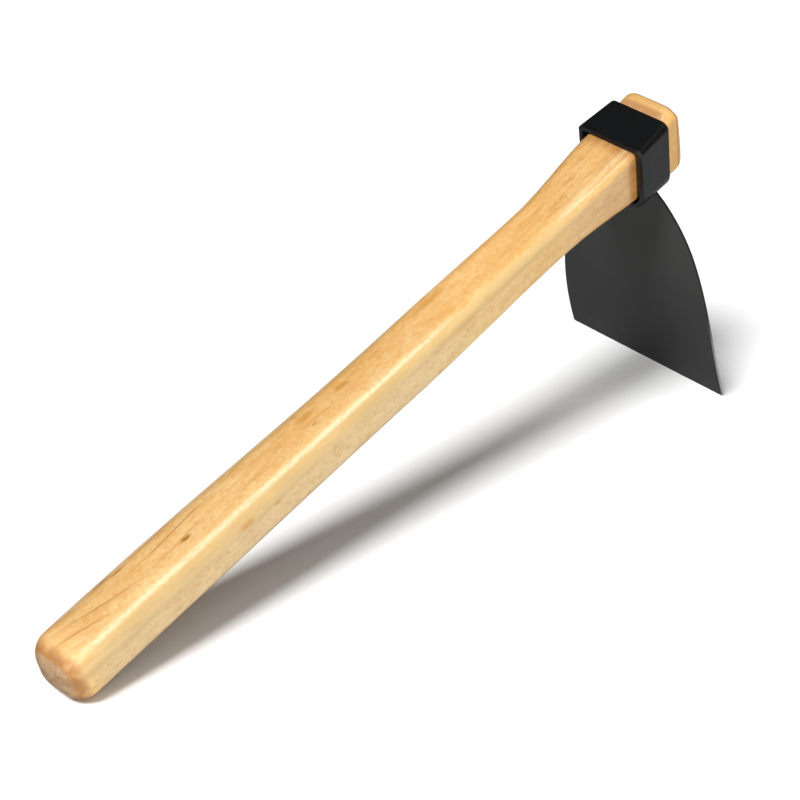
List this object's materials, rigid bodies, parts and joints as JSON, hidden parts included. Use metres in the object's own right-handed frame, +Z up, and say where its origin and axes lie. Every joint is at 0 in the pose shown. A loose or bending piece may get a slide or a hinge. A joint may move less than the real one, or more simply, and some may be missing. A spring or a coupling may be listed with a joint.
{
  "type": "garden hoe",
  "caption": "Short-handled garden hoe with a varnished hardwood grip, a black steel strap eye and a flared digging blade.",
  "frame": {"origin": "on the floor under the middle of the object's box, as it rests on its butt and its cutting edge", "axes": "+X from the butt to the head along the ground, +Y to the left of someone who holds the grip, +Z up"},
  "size_m": [0.4222, 0.0986, 0.164],
  "materials": {
    "varnished_hardwood": "gloss varnish over honey-coloured hardwood",
    "black_paint_strap": "gloss black paint",
    "black_paint_blade": "semi-gloss black paint",
    "black_paint_weld": "gloss black paint over a rough weld"
  },
  "bodies": {
    "root": {"handle": "varnished_hardwood", "eye_band": "black_paint_strap", "band_seam_weld": "black_paint_weld", "blade": "black_paint_blade", "neck_weld_front": "black_paint_weld", "neck_weld_back": "black_paint_weld"}
  },
  "joints": []
}
